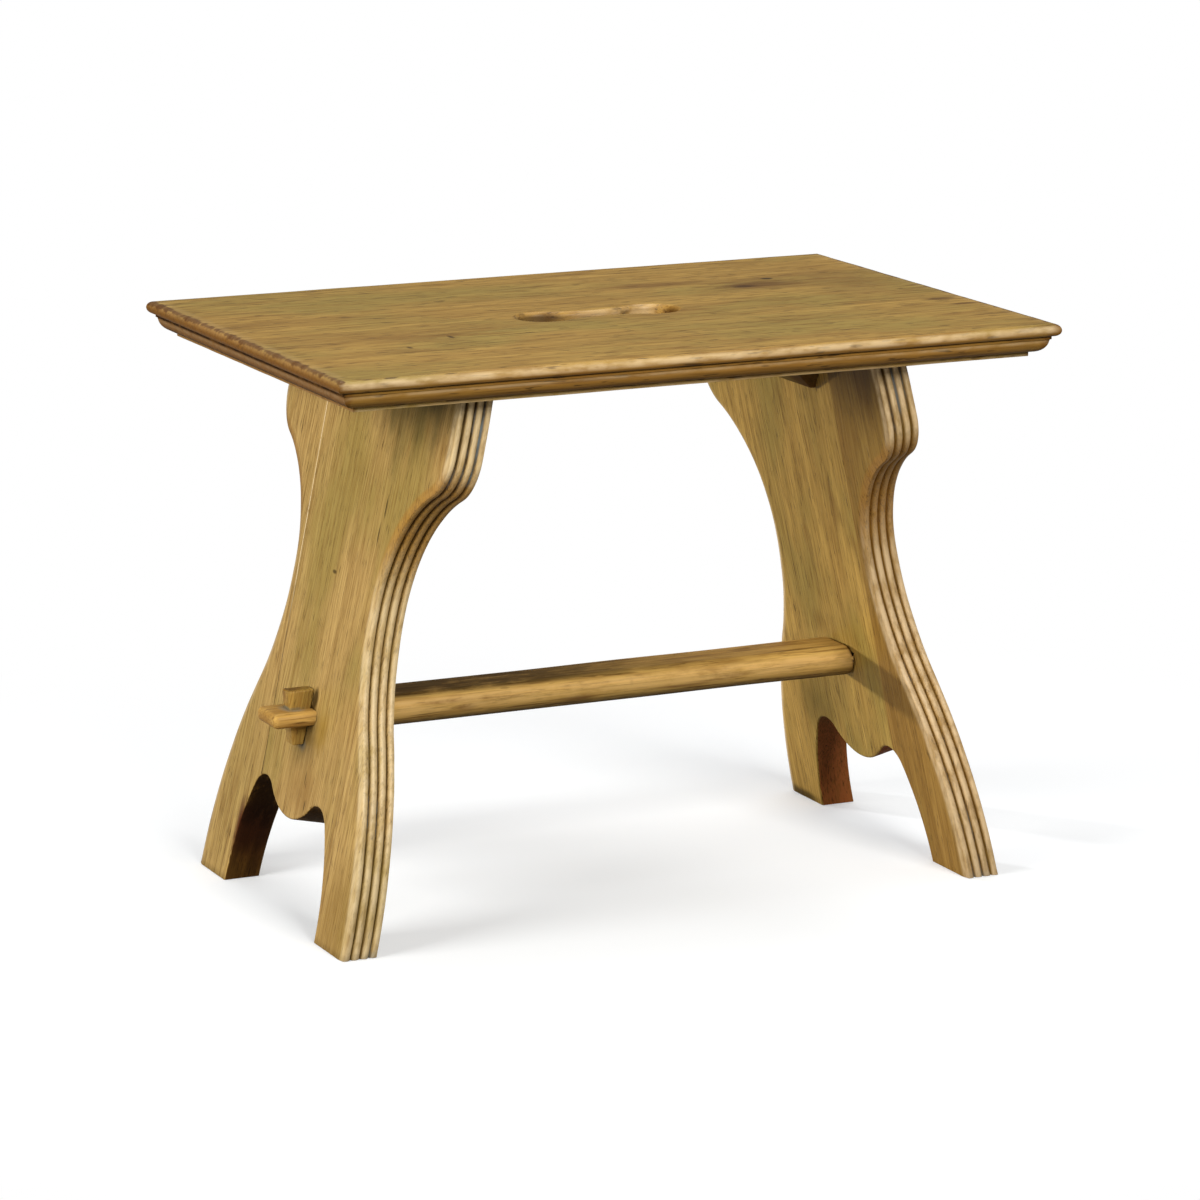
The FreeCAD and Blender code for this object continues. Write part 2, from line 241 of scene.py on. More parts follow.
# the oak of every piece, turned and shifted for each board so that no two share their grain
waxedOak = {
    "light": "#c4a264", "dark": "#967540", "olive": "#92803f", "brown": "#74501e", "line": "#5f4018",
    "pore": "#3f290c", "rubbedAndHighlight": "#e0c59a", "grime": "#1c0e02", "wax": "#8d999b", "raw": "#5e361c",
    "turn": (0, 0, 0), "shift": (0, 0, 0), "pith": (0, 20, 70), "bend": 16.0,
    "ringShape": "X", "ringStretch": 0.05, "ringGap": 7.0, "ringWander": 3.5,
    "ringShare": 0.3, "streakShare": 0.4, "cloudShare": 0.65, "patchShare": 0.55, "fibreShare": 0.5,
    "lineShare": 0.5, "poreShare": 0.7, "wornShare": 0.65, "grimeShare": 0.95, "waxShare": 0.6, "rawShare": 0.9,
    "rough": 0.4, "wide": 1.0, "stains": [],
}


def oakFinish(name, look):
    # oak, planed by hand and waxed for years: straight fibres with dark open pores,
    # golden where hands and feet rub and where highlights are painted, dark where wax and dust collect and where
    # shade is painted
    look = {**waxedOak, **look}
    wide = look["wide"]
    recipe = [
        ("spot", "TexCoord", {}, {}, "Object"),
        ("board", "Mapping", {"Rotation": look["turn"], "Scale": (1000, 1000, 1000), "Location": look["shift"]},
         {"Vector": "spot"}),
        # fibres wander slowly from side to side
        ("bendSpot", "Mapping", {"Scale": perMm(260, 70, 70)}, {"Vector": "board"}),
        ("bend", "TexNoise", {"Scale": 1, "Detail": 2}, {"Vector": "bendSpot"}),
        ("bendBy", "Math", {**multiplyAdd, 1: look["bend"], 2: -look["bend"] / 2}, {0: "bend"}),
        ("bendVector", "CombineXYZ", {}, {"Y": "bendBy"}),
        ("grain", "VectorMath", {"operation": "ADD"}, {0: "board", 1: "bendVector"}),
        # growth rings about a heart that lies outside the board
        ("ringSpot", "Mapping", {"Location": look["pith"], "Scale": (look["ringStretch"], 1, 1)},
         {"Vector": "grain"}),
        ("rings", "TexWave", {"wave_type": "RINGS", "rings_direction": look["ringShape"], "wave_profile": "SAW",
                              "Scale": waveScale / look["ringGap"], "Distortion": look["ringWander"],
                              "Detail": 2, "Detail Scale": 0.35}, {"Vector": "ringSpot"}, 1),
        ("streakSpot", "Mapping", {"Scale": perMm(130, 4 * wide, 4 * wide)}, {"Vector": "grain"}),
        ("streak", "TexNoise", {"Scale": 1, "Detail": 3}, {"Vector": "streakSpot"}),
        ("streakMark", "MapRange", {**softStep, "From Min": 0.3, "From Max": 0.72, "To Max": look["streakShare"]},
         {"Value": "streak"}),
        ("tone", "Math", {**multiplyAdd, 1: look["ringShare"]}, {0: "rings", 2: "streakMark"}),
        ("colour", "Mix", {**colourMix, 6: hexColour(look["light"]), 7: hexColour(look["dark"])}, {0: "tone"}, 2),
        ("rubSpot", "Mapping", {"Scale": perMm(26, 9, 9)}, {"Vector": "board"}),
        ("rub", "TexNoise", {"Scale": 1, "Detail": 4, "Roughness": 0.65}, {"Vector": "rubSpot"}),
    ]
    # noise along the board or its fibres: lengths in millimetres, detail, roughness, where a mark starts
    # and is full, colour. Real fibres and pores are finer: these are wide enough to show
    layers = {
        "cloud": ("board", (150, 80, 80), 3, 0.5, 0.42, 0.66, "olive"),
        "patch": ("board", (70, 20, 20), 4, 0.6, 0.54, 0.78, "brown"),
        "fibre": ("grain", (42, 1.1 * wide, 1.1 * wide), 2, 0.5, 0.44, 0.66, "brown"),
        "line": ("grain", (90, 1.9 * wide, 1.9 * wide), 2, 0.6, 0.58, 0.68, "line"),
        "pore": ("grain", (11 + 3 * wide, 0.9 * wide, 0.9 * wide), 1, 0.5, 0.63, 0.7, "pore"),
    }
    rows = {}
    for layer, (space, lengths, detail, grit, start, full, tint) in layers.items():
        rows[layer] = [
            (layer + "Spot", "Mapping", {"Scale": perMm(*lengths)}, {"Vector": space}),
            (layer, "TexNoise", {"Scale": 1, "Detail": detail, "Roughness": grit}, {"Vector": layer + "Spot"}),
            (layer + "Mark", "MapRange",
             {**softStep, "From Min": start, "From Max": full, "To Max": look[layer + "Share"]}, {"Value": layer}),
            ("colour", "Mix", {**colourMix, 7: hexColour(look[tint])}, {0: layer + "Mark", 6: "colour"}, 2),
        ]
    # sawn or end-grain wood under the wax, and painted brown shade in the hollows
    rows["raw"] = [
        ("raw", "Attribute", {"attribute_name": "raw"}, {}, "Fac"),
        ("rawMark", "Math", {"operation": "MULTIPLY", 1: look["rawShare"]}, {0: "raw"}),
        ("colour", "Mix", {**colourMix, 7: hexColour(look["raw"])}, {0: "rawMark", 6: "colour"}, 2),
    ]
    for layer in ("cloud", "patch", "raw", "fibre", "line", "pore"):
        recipe += rows[layer]
    for at, size, ragged, core, share, colour, *edge in look["stains"]:
        # ragged like the patches, or like the pattern that the stain names last
        recipe += [
            ("stainSpot", "Mapping", {"Scale": tuple(1000 / s for s in size),
                                      "Location": tuple(-a / s for a, s in zip(at, size))}, {"Vector": "spot"}),
            ("stainFar", "VectorMath", {"operation": "LENGTH"}, {0: "stainSpot"}, 1),
            ("stainEdge", "Math", {**multiplyAdd, 1: ragged, 2: -ragged / 2},
             {0: edge[0] if edge else "patch"}),
            ("stainNear", "Math", {"operation": "ADD"}, {0: "stainFar", 1: "stainEdge"}),
            ("stainMark", "MapRange", {**softStep, "From Min": core, "From Max": 1.0, "To Min": share, "To Max": 0.0},
             {"Value": "stainNear"}),
            ("colour", "Mix", {**colourMix, 7: hexColour(colour)}, {0: "stainMark", 6: "colour"}, 2),
        ]
    # rubbed edges with painted highlights, then dirt and painted shade in the grooves and hollows
    for mark, low, high, least, tint in (("worn", 0.3, 0.62, 0.25, "rubbedAndHighlight"), ("grime", 0.2, 0.55, 0.45, "grime")):
        recipe += [
            (mark, "Attribute", {"attribute_name": mark}, {}, "Fac"),
            (mark + "Patchy", "MapRange",
             {**softStep, "From Min": low, "From Max": high, "To Min": least, "To Max": 1.0}, {"Value": "rub"}),
            (mark + "Place", "Math", {"operation": "MULTIPLY"}, {0: mark, 1: mark + "Patchy"}),
            (mark + "Mark", "Math", {"operation": "MULTIPLY", 1: look[mark + "Share"]}, {0: mark + "Place"}),
            ("colour", "Mix", {**colourMix, 7: hexColour(look[tint])}, {0: mark + "Mark", 6: "colour"}, 2),
        ]
    recipe += [
        # grey old wax on the dirt
        ("waxPlace", "MapRange", {**softStep, "From Min": 0.55, "From Max": 0.68, "To Max": look["waxShare"]},
         {"Value": "patch"}),
        ("sealed", "Math", {"operation": "SUBTRACT", 0: 1.0}, {1: "raw"}),
        ("waxed", "Math", {"operation": "MULTIPLY"}, {0: "waxPlace", 1: "grime"}),
        ("waxMark", "Math", {"operation": "MULTIPLY"}, {0: "waxed", 1: "sealed"}),
        ("colour", "Mix", {**colourMix, 7: hexColour(look["wax"])}, {0: "waxMark", 6: "colour"}, 2),
        # polish: smoother where rubbed, dull in the dirt
        ("roughFibre", "Math", {**multiplyAdd, 1: 0.2, 2: look["rough"] - 0.1}, {0: "fibre"}),
        ("roughGrime", "Math", {**multiplyAdd, 1: 0.25}, {0: "grimePlace", 2: "roughFibre"}),
        ("rough", "Math", {**multiplyAdd, 1: -0.1}, {0: "wornPlace", 2: "roughGrime"}),
        ("fibreUp", "Math", {**multiplyAdd, 1: 0.5}, {0: "fibre", 2: "rub"}),
        ("poreDown", "Math", {**multiplyAdd, 1: -0.8}, {0: "poreMark", 2: "fibreUp"}),
        ("height", "Math", {**multiplyAdd, 1: -0.5}, {0: "lineMark", 2: "poreDown"}),
        ("bump", "Bump", {"Strength": 0.45, "Distance": 0.4 * mm}, {"Height": "height"}),
        ("wood", "BsdfPrincipled",
         {"IOR": 1.47, "Specular IOR Level": 0.12, "Coat Weight": 0.02, "Coat Roughness": 0.2},
         {"Base Color": "colour", "Roughness": "rough", "Normal": "bump"}),
        ("out", "OutputMaterial", {}, {"Surface": "wood"}),
    ]
    material = bpy.data.materials.new(name)
    fillTree(material, recipe)
    return material


# seat board, in millimetres: a flat top, a round nosing, a quirk and an ovolo below it, and a hand slot
seat = {
    "length": 560, "width": 377, "top": 420, "thickness": 25,
    "nosing": 9.4, "quirkInset": 5.4, "quirkDepth": 2.4, "ovoloInset": 6.6, "ovoloRadius": 9.9, "step": 1.0,
    "arris": 0.3, "quirkRow": 1.0, "ovoloArris": 0.25, "stepArris": 0.2, "underArris": 0.4, "underRow": 3.5,
    "lobeRadius": 20, "lobeSpacing": 86, "waistWidth": 20, "slotRound": 4,
    "nosingSteps": 12, "ovoloSteps": 10, "lobeSteps": 40, "waistSteps": 26, "cellsLong": 140, "cellsWide": 94,
    "ripple": 0.3, "waves": (45, 22, 16), "seed": 1.0,
}


def seatProfile():
    # inset and depth of each line of the moulding, from the edge of the flat top down
    s = seat
    points = []
    r = s["nosing"] / 2
    for i in range(1, s["nosingSteps"] + 1):
        turn = math.pi * i / s["nosingSteps"]
        points.append((r - r * math.sin(turn), r - r * math.cos(turn)))
    quirk, arris = s["quirkInset"], s["arris"]
    fillet = s["nosing"] + s["quirkDepth"]
    points += [(quirk - arris, s["nosing"]), (quirk, s["nosing"] + arris)]
    points += [(quirk, s["nosing"] + s["quirkRow"]), (quirk, fillet - arris)]
    points += [(quirk + arris, fillet), (s["ovoloInset"] - s["ovoloArris"], fillet)]
    r = s["ovoloRadius"]
    end = s["ovoloInset"] + r
    for i in range(1, s["ovoloSteps"] + 1):
        turn = math.pi / 2 * i / s["ovoloSteps"]
        points.append((end - r * math.cos(turn), fillet + r * math.sin(turn)))
    under, foot = end + s["step"], fillet + r
    points += [(under - s["stepArris"], foot), (under, foot + arris)]
    points += [(under, s["thickness"] - s["underArris"]), (under + s["underArris"], s["thickness"])]
    # one more row on the underside keeps its shading flat
    return points + [(under + s["underRow"], s["thickness"])]


def slotOutline(grow):
    s = seat
    lobeX, lobeRadius, waist = s["lobeSpacing"] / 2, s["lobeRadius"], s["waistWidth"] / 2
    waistRadius = (lobeX ** 2 + waist ** 2 - lobeRadius ** 2) / (2 * (lobeRadius - waist))
    waistY = waist + waistRadius
    turn = math.atan2(waistY, -lobeX)
    reach = lobeRadius + grow
    start = (lobeX + reach * math.cos(turn), -reach * math.sin(turn))
    up = (0, 0, 1)
    waistTurn = 2 * turn - math.pi
    return start, [
        ((lobeX, 0), up, 2 * turn, s["lobeSteps"]),
        ((0, waistY), up, -waistTurn, s["waistSteps"]),
        ((-lobeX, 0), up, 2 * turn, s["lobeSteps"]),
        ((0, -waistY), up, -waistTurn, s["waistSteps"]),
    ]


def makeSeat():
    s = seat
    r = s["nosing"] / 2
    bpy.ops.mesh.primitive_grid_add(x_subdivisions=s["cellsLong"], y_subdivisions=s["cellsWide"], size=1)
    piece = named("seatBoardOak")
    editMode()
    selectMesh()
    halfLong, halfWide = s["length"] / 2 - r, s["width"] / 2 - r
    bpy.ops.transform.resize(value=(2 * halfLong * mm, 2 * halfWide * mm, 1), center_override=(0, 0, 0))
    bpy.ops.transform.translate(value=(0, 0, s["top"] * mm))
    bpy.ops.mesh.select_mode(type="EDGE")
    bpy.ops.mesh.select_all(action="DESELECT")
    bpy.ops.mesh.select_non_manifold(extend=False, use_wire=False, use_multi_face=False,
                                     use_non_contiguous=False, use_verts=False)
    depthNow = 0
    for inset, depth in seatProfile():
        newLong, newWide = s["length"] / 2 - inset, s["width"] / 2 - inset
        bpy.ops.mesh.extrude_edges_move(TRANSFORM_OT_translate={"value": (0, 0, (depthNow - depth) * mm)})
        bpy.ops.transform.resize(value=(newLong / halfLong, newWide / halfWide, 1), center_override=(0, 0, 0))
        halfLong, halfWide, depthNow = newLong, newWide, depth
    bpy.ops.mesh.edge_face_add()
    closeMesh()
    low, high = s["top"] - s["thickness"], s["top"]
    slot = ringCutter("slotCutter", slotOutline, roundedLayers(low, high, s["slotRound"]),
                      lambda spot, level: Vector((spot[0], spot[1], level)) * mm)
    cutAway(piece, slot)
    return piece


def seatMarks(co):
    # depths are millimetres below the top
    x = co.x / mm
    sideInset = seat["length"] / 2 - abs(x)
    inset = min(sideInset, seat["width"] / 2 - abs(co.y) / mm)
    depth = seat["top"] - co.z / mm
    patchy = 0.5 + 0.8 * noise.noise(co / (9 * mm)) + 0.4 * noise.noise(co / (40 * mm))
    if inset > 20:
        # walls of the hand slot, polished a little by fingers, paler to the right with a painted highlight and darker
        # to the left with painted shade
        if not 0.3 < depth < 24.5:
            return 0, 0, 0
        pale = (0.15 + 0.5 * ramp(x, -25, 15)) * ramp(abs(x), 62, 50)
        dirtAndShade = 0.75 * ramp(patchy, 0.75, 0.95) + 0.65 * ramp(x, 5, -35) * ramp(depth, 1, 5)
        return pale, min(1, dirtAndShade), 0.3
    if inset > 9 and depth < 1:
        return 0, 0, 0  # the flat top
    ovolo = band(depth, 14.5, 21, 21.8, 22.3)
    if sideInset > inset + 0.01:
        # long edges, rubbed pale with a painted highlight on nosing, ovolo and underside, most of all in front;
        # painted shade darkens the quirk and the lower ovolo
        worn = (1 if co.y < 0 else 0.3) * band(depth, 0.5, 2.2, 5, 7.5)
        worn += 0.6 * band(depth, 11.5, 12.5, 13, 15.5) + 0.7 * ramp(depth, 21.9, 22.4)
        quirk = band(depth, 9.0, 9.5, 9.7, 10.2)
        return worn * ramp(patchy, -0.3, 0.5), max(quirk, 0.4 * ovolo), 0.7 * band(depth, 2, 6, 21.8, 22.2)
    # end grain, dark, with painted shade in the quirk and on the lower ovolo, and rubbed only along its ridges
    worn = 0.12 * ramp(depth, 6, 3) + 0.3 * band(depth, 11.9, 12.6, 14, 17) + 0.3 * ramp(depth, 22, 23)
    quirk = band(depth, 8.6, 9.2, 11.6, 12.4)
    return worn, max(quirk, 0.85 * ovolo, 0.3 * ramp(depth, 2, 5)), 0.9 * ramp(depth, 1, 5)


# trestle ends, in millimetres along the leaning board: an outline of five arcs, reeded edges, two arches
endBoard = {
    "rake": 12.7, "thickness": 27.3, "footReach": 263.8, "head": 395,
    "shoulderWidth": 152.5, "shoulderHeight": 354.5, "earRadius": 340, "noseRadius": 36,
    "waistHeight": 235, "waistWidth": 77, "footWidth": 142, "flareShare": 0.626,
    "gapWidth": 88.45, "legRadius": 162, "archRadius": 20, "archTop": 87.3, "pendant": 68,
    "reeds": 4, "reedDepth": 2.6, "reedSteps": 8, "reedClear": 1.2, "gapRound": 1.6, "past": 8, "headClear": 0.02,
    "shoulderRound": 6.0, "shoulderLand": 2.2, "shoulderShape": ((0.06, 1), (0.3, 0.72), (0.75, 0.5)),
    "jointFoot": 54, "jointHead": 75, "jointLow": -6, "jointHigh": 19, "jointMark": 0.9,
    "spacing": 2.6, "leastSteps": 8, "faceCells": 30, "legSteps": 24, "archSteps": 26, "pendantSteps": 40,
    "ripple": 0.35, "waves": (14, 18, 22), "boardSeed": 5.0, "stripSeed": 9.0,
}
rake = math.radians(endBoard["rake"])
endLength = (endBoard["head"] + endBoard["thickness"] * math.sin(rake)) / math.cos(rake)


def edgeArcs():
    # centre across and up the board, radius, start and end angle of the five arcs of one edge
    e = endBoard
    waistUp = e["waistHeight"] / math.cos(rake)
    shoulderUp = e["shoulderHeight"] / math.cos(rake)
    flareIn = e["footWidth"] - e["waistWidth"]
    lowerSpan = (waistUp ** 2 + flareIn ** 2) / (2 * flareIn)
    flareRadius = lowerSpan * e["flareShare"]
    lowerRadius = lowerSpan - flareRadius
    lowerTurn = math.atan2(waistUp, lowerSpan - flareIn)
    rise = shoulderUp - waistUp
    out = e["shoulderWidth"] - e["waistWidth"]
    upperSpan = (rise ** 2 + out ** 2) / (2 * out)
    upperRadius = upperSpan - e["noseRadius"]
    upperTurn = math.atan2(rise, upperSpan - out)
    earTurn = math.asin((endLength - shoulderUp + e["past"]) / e["earRadius"])
    return [
        ((e["footWidth"] - flareRadius, 0), flareRadius, -math.asin(e["past"] / flareRadius), lowerTurn),
        ((e["waistWidth"] + lowerRadius, waistUp), lowerRadius, math.pi + lowerTurn, math.pi),
        ((e["waistWidth"] + upperRadius, waistUp), upperRadius, math.pi, math.pi - upperTurn),
        ((e["shoulderWidth"] - e["noseRadius"], shoulderUp), e["noseRadius"], -upperTurn, 0),
        ((e["shoulderWidth"] - e["earRadius"], shoulderUp), e["earRadius"], 0, earTurn),
    ]


def reedSection():
    # across the thickness and in from the crowns, from the outer face to the inner face
    e = endBoard
    pitch = e["thickness"] / e["reeds"]
    radius = ((pitch / 2) ** 2 + e["reedDepth"] ** 2) / (2 * e["reedDepth"])
    half = math.asin(pitch / 2 / radius)
    rim = e["shoulderRound"]
    shoulder = [(0, rim + e["shoulderLand"])] + [(x, rim * share) for x, share in e["shoulderShape"]]
    points = list(shoulder)
    for reed in range(e["reeds"]):
        for i in range(1, e["reedSteps"] + 1):
            turn = half * (2 * i / e["reedSteps"] - 1)
            x = pitch * (reed + 0.5) + radius * math.sin(turn)
            if e["reedClear"] <= x <= e["thickness"] - e["reedClear"]:
                points.append((x, radius * (1 - math.cos(turn))))
    return points + [(e["thickness"] - x, inset) for x, inset in reversed(shoulder)]


def gapOutline(grow):
    e = endBoard
    archUp = e["archTop"] / math.cos(rake) - e["archRadius"]
    pendantUp = e["pendant"] / math.cos(rake)
    legY = e["gapWidth"] - e["legRadius"]
    archY = legY + math.sqrt((e["legRadius"] - e["archRadius"]) ** 2 - archUp ** 2)
    legTurn = math.asin(archUp / (e["legRadius"] - e["archRadius"]))
    drop = archUp - pendantUp
    pendantRadius = (archY ** 2 + drop ** 2 - e["archRadius"] ** 2) / (2 * (e["archRadius"] + drop))
    archTurn = math.pi - math.atan2(pendantRadius - drop, archY)
    swing = math.pi - archTurn
    across = (1, 0, 0)
    start = (e["gapWidth"] + grow, -e["past"])
    return start, [
        (0, e["past"]),
        ((legY, 0), across, legTurn, e["legSteps"]),
        ((archY, archUp), across, archTurn - legTurn, e["archSteps"]),
        ((0, pendantUp + pendantRadius), across, 2 * swing - math.pi, e["pendantSteps"]),
        ((-archY, archUp), across, archTurn - legTurn, e["archSteps"]),
        ((-legY, 0), across, legTurn, e["legSteps"]),
        (0, -e["past"]),
        (2 * start[0], 0),
    ]


def boardToRoom(piece):
    # leans the board in and sets its foot in place, on the left
    onlySelect(piece)
    piece.rotation_euler = Euler((0, rake, 0))
    piece.location = (-endBoard["footReach"] * mm, 0, 0)
    bpy.ops.object.transform_apply()


def bisect(place, normal, keepInner, fill=True):
    selectMesh()
    normal = Vector(normal).normalized()
    bpy.ops.mesh.bisect(plane_co=place, plane_no=normal, use_fill=fill, threshold=weld,
                        clear_inner=not keepInner, clear_outer=keepInner)


def makeEnd():
    e = endBoard
    piece = newPiece("leftEndOak")
    arcs = edgeArcs()
    section = reedSection()
    centre, radius, start, _ = arcs[0]
    outward = Vector((0, math.cos(start), math.sin(start)))
    foot = Vector((0, centre[0], centre[1])) + outward * radius

    def spot(point):
        return (Vector((point[0], 0, 0)) + foot - outward * point[1]) * mm

    startPoint(spot(section[0]))
    for here, there in zip(section, section[1:]):
        drawTo(spot(there) - spot(here))
    selectMesh()
    for centre, radius, begin, end in arcs:
        steps = max(e["leastSteps"], round(abs(end - begin) * radius / e["spacing"]))
        sweep((0, centre[0] * mm, centre[1] * mm), (1, 0, 0), end - begin, steps)
    selectMesh()
    bpy.ops.mesh.remove_doubles(threshold=weld)
    selectMesh()
    bpy.ops.mesh.duplicate()
    bpy.ops.transform.resize(value=(1, -1, 1), center_override=(0, 0, 0))
    # the two broad faces, bridged from the front edge to the back edge
    for face in (0, e["thickness"]):
        pickEdges(lambda co: abs(co.x - face * mm) < touch)
        bpy.ops.mesh.bridge_edge_loops()
        pickPairs(lambda a, b: max(abs(a.x - face * mm), abs(b.x - face * mm)) < touch and a.y * b.y < 0)
        bpy.ops.mesh.subdivide(number_cuts=e["faceCells"])
    closeMesh()
    gap = ringCutter("gapCutter", gapOutline, roundedLayers(0, e["thickness"], e["gapRound"]),
                     lambda spot, level: Vector((level, spot[0], spot[1])) * mm)
    boardToRoom(piece)
    boardToRoom(gap)
    onlySelect(piece)
    editMode()
    bisect((0, 0, 0), (0, 0, -1), True)
    bisect((0, 0, (e["head"] - e["headClear"]) * mm), (0, 0, 1), True)
    closeMesh()
    cutAway(piece, gap)
    return piece


def endSpot(co):
    # back from the room to the plane of the left board, in millimetres
    flat = Vector(co) / mm + Vector((endBoard["footReach"], 0, 0))
    flat.rotate(Euler((0, -rake, 0)))
    return flat


def endInset(flat):
    # how far inside the crowns of the reeds a point of the board lies
    y, z = abs(flat.y), flat.z
    for centre, radius, start, end in edgeArcs():
        top = centre[1] + radius * math.sin(end)
        if z <= top + 0.001:
            out = Vector((y - centre[0], z - centre[1])).length
            if end < start:
                return out - radius
            return radius - out if y > centre[0] else radius
    return 99


def endMarks(co):
    # heights and insets are millimetres in the plane of the board
    e = endBoard
    flat = endSpot(co)
    inset = endInset(flat)
    fromFace = min(flat.x, e["thickness"] - flat.x)
    foot = 0.4 * ramp(co.z / mm, 6, 0.5)
    # the hollow under the nose gets painted shade, browner and with wider dark grooves, and is hardly rubbed, out of
    # reach of hands
    upper = ramp(flat.z, 228, 300)
    hollow = upper * ramp(flat.z, 358, 338)
    if inset < 3.2 and fromFace > 0.9:
        # reeds, pale on their crowns with wear and a painted highlight, dark in their grooves with dirt, widened
        # higher up by painted shade
        crown = ramp(inset, 1.7 - 0.5 * upper, 0.2)
        groove = ramp(inset, 1.5 - 0.8 * upper, 2.5 - 0.5 * upper)
        return crown * (1 - 0.8 * hollow), max(foot, groove, 0.1 * hollow), 0.8 * hollow
    if abs(flat.y) < e["gapWidth"] + 0.5 and flat.z < 92 and fromFace > 0.8:
        # sawn walls of the arches, raw, with painted shade all over, darkest at their tops
        return 0, max(0.75, ramp(flat.z, 12, 55)), 1
    if flat.x < 2 and abs(flat.y - jointY(flat.z)) < 0.1:
        # the glue joint shows a painted highlight on its edge high up and dark lower down
        return 2.5 * ramp(flat.z, 190, 250), ramp(flat.z, 250, 190), 0
    if fromFace > 0.03 and inset < 7:
        # rounded shoulders beside the reeds, with a painted highlight, and brown painted shade in the hollow
        return 0.7 * ramp(inset, 7, 4) * (1 - 0.9 * hollow), foot, 0.65 * hollow * ramp(inset, 8, 5)
    return 0, foot, 0


def onReeds(co):
    return ramp(endInset(endSpot(co)), 9, 7) * ramp(co.z / mm, 0.5, 3)


def jointY(z):
    e = endBoard
    up = (z - e["jointLow"]) / (endLength + e["jointHigh"] - e["jointLow"])
    return e["jointFoot"] + (e["jointHead"] - e["jointFoot"]) * up


def splitEnd(whole, names):
    # parts the end along its glue joint into the wide board and the strip
    e = endBoard
    foot = Vector((0, e["jointFoot"], e["jointLow"]))
    head = Vector((0, e["jointHead"], endLength + e["jointHigh"]))
    along = (head - foot).normalized()
    normal = Vector((0, along.z, -along.y))
    turn = Euler((0, rake, 0)).to_matrix()
    place = (turn @ foot + Vector((-e["footReach"], 0, 0))) * mm
    normal = turn @ normal
    pieces = []
    for name, keepInner in zip(names, (True, False)):
        onlySelect(whole)
        bpy.ops.object.duplicate()
        piece = named(name)
        editMode()
        bisect(place, normal, keepInner, False)
        pickEdges(lambda co: abs((co - place).dot(normal)) < touch)
        bpy.ops.mesh.edge_face_add()
        # a row of points beside the joint, so that its marks stay narrow
        beside = -e["jointMark"] if keepInner else e["jointMark"]
        selectMesh()
        bpy.ops.mesh.bisect(plane_co=place + normal * beside * mm, plane_no=normal)
        closeMesh()
        pieces.append(piece)
    bpy.data.objects.remove(whole, do_unlink=True)
    return pieces


def turnedCopy(piece, name):
    onlySelect(piece)
    bpy.ops.object.duplicate()
    copy = named(name)
    copy.rotation_euler = Euler((0, 0, math.pi))
    bpy.ops.object.transform_apply()
    return copy


# stretcher, in millimetres: a rail rounded by feet, with a through tenon at each end
stretcher = {
    "width": 46.4, "top": 155, "thickness": 25, "topRound": 9.5, "bottomRound": 16.5, "endPast": 3,
    "topSteps": 8, "bottomSteps": 14, "slices": 170,
    "shoulderRound": 3.4, "shoulderRows": (0.25, 0.8, 1.8, 3.4), "shoulderClear": 0.03,
    "tenonWidth": 36, "tenonThickness": 10.6, "tenonHeight": 143.4, "tenonReach": 263.58, "tenonRound": 4.2,
    "tenonIn": 6, "ripple": 0.7, "waves": (90, 24, 24), "seed": 3.0,
}
# tapered key, in millimetres, and the room it has in its mortise
keyPiece = {
    "thickness": 12, "headWidth": 20.6, "footWidth": 8.4, "headRise": 14.3, "footDrop": 15.6, "blank": 60,
    "headBevel": 2.4, "bevelReach": 0.6, "arris": 0.9, "clearance": 0.3, "setback": 4,
}


def outerFaceX(height):
    return endBoard["footReach"] - math.tan(rake) * height


def innerFaceX(height):
    return outerFaceX(height) - endBoard["thickness"] / math.cos(rake)


def keySides(slack, setback):
    # foot and head height of a key, and its outer and inner x at each
    high = stretcher["tenonHeight"] + stretcher["tenonThickness"] / 2 + keyPiece["headRise"]
    low = stretcher["tenonHeight"] - stretcher["tenonThickness"] / 2 - keyPiece["footDrop"]
    gap = keyPiece["clearance"] / math.cos(rake)
    sizes = ((low, keyPiece["footWidth"]), (high, keyPiece["headWidth"]))
    return [(z, outerFaceX(z) + gap + wide + slack, outerFaceX(z) + gap - setback) for z, wide in sizes]


def keyBlank(name, slack, setback, thick):
    # a block sawn to the taper of the key, on the left
    (low, footOut, footIn), (high, headOut, headIn) = keySides(slack, setback)
    middle = Vector((-(headOut + headIn) / 2, 0, (low + high) / 2))
    piece = block(name, middle, Vector((keyPiece["blank"], thick, high - low)))
    editMode()
    bisect(Vector((-footOut, 0, low)) * mm, Vector((low - high, 0, footOut - headOut)), True)
    bisect(Vector((-footIn, 0, low)) * mm, Vector((high - low, 0, headIn - footIn)), True)
    return piece


